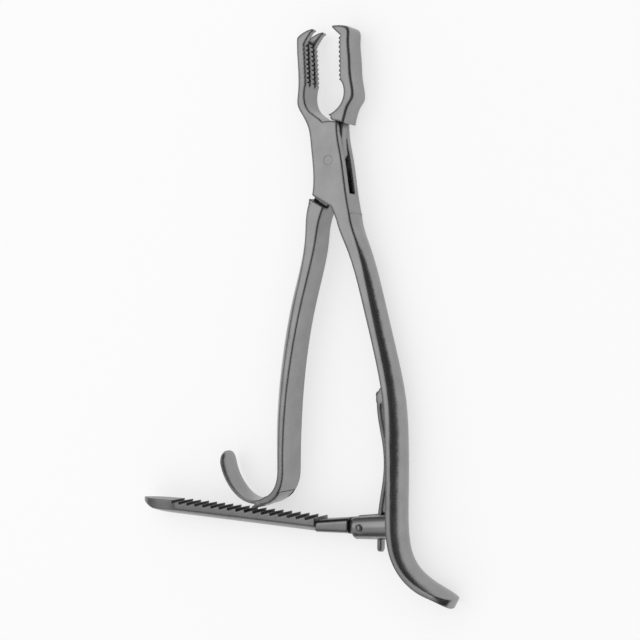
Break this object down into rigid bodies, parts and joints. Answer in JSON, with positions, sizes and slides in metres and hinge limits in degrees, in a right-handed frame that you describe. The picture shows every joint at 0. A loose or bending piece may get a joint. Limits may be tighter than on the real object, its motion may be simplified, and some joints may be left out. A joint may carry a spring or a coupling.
{
  "type": "bone holding forceps",
  "caption": "Steel bone holding forceps with box lock, toothed forked jaws, finger hook and a hinged ratchet bar.",
  "frame": {"origin": "on the lock pin's axis at the flat back face of the box lock", "axes": "+Y along the instrument to the jaws, +Z along the lock pin out of the opening plane, +X to the handle with the fork"},
  "size_m": [0.2209, 0.3293, 0.02],
  "materials": {
    "satin_steel": "satin ground stainless steel",
    "bar_steel": "satin ground stainless steel, darker between the teeth",
    "fork_steel": "satin turned stainless steel",
    "spring_steel": "satin spring steel"
  },
  "bodies": {
    "box_body": {"box_half": "satin_steel", "lock_pin": "satin_steel", "ratchet_fork": "fork_steel", "leaf_spring": "spring_steel", "spring_rivet": "spring_steel"},
    "lock_body": {"lock_half": "satin_steel"},
    "bar_body": {"ratchet_bar": "bar_steel", "bar_pin": "fork_steel"}
  },
  "joints": [
    {"name": "jaw_pivot", "type": "hinge", "parent": "box_body", "child": "lock_body", "pos_m": [0, 0, 0.0075], "axis": [0, 0, 1], "range_deg": [-18, 9]},
    {"name": "bar_hinge", "type": "hinge", "parent": "box_body", "child": "bar_body", "pos_m": [0.0204, -0.211, 0.0075], "axis": [0, 0, 1], "range_deg": [-10.9, 5.5]}
  ],
  "couplings": [
    {"joint": "bar_hinge", "follows": "jaw_pivot", "ratio": 0.6}
  ]
}
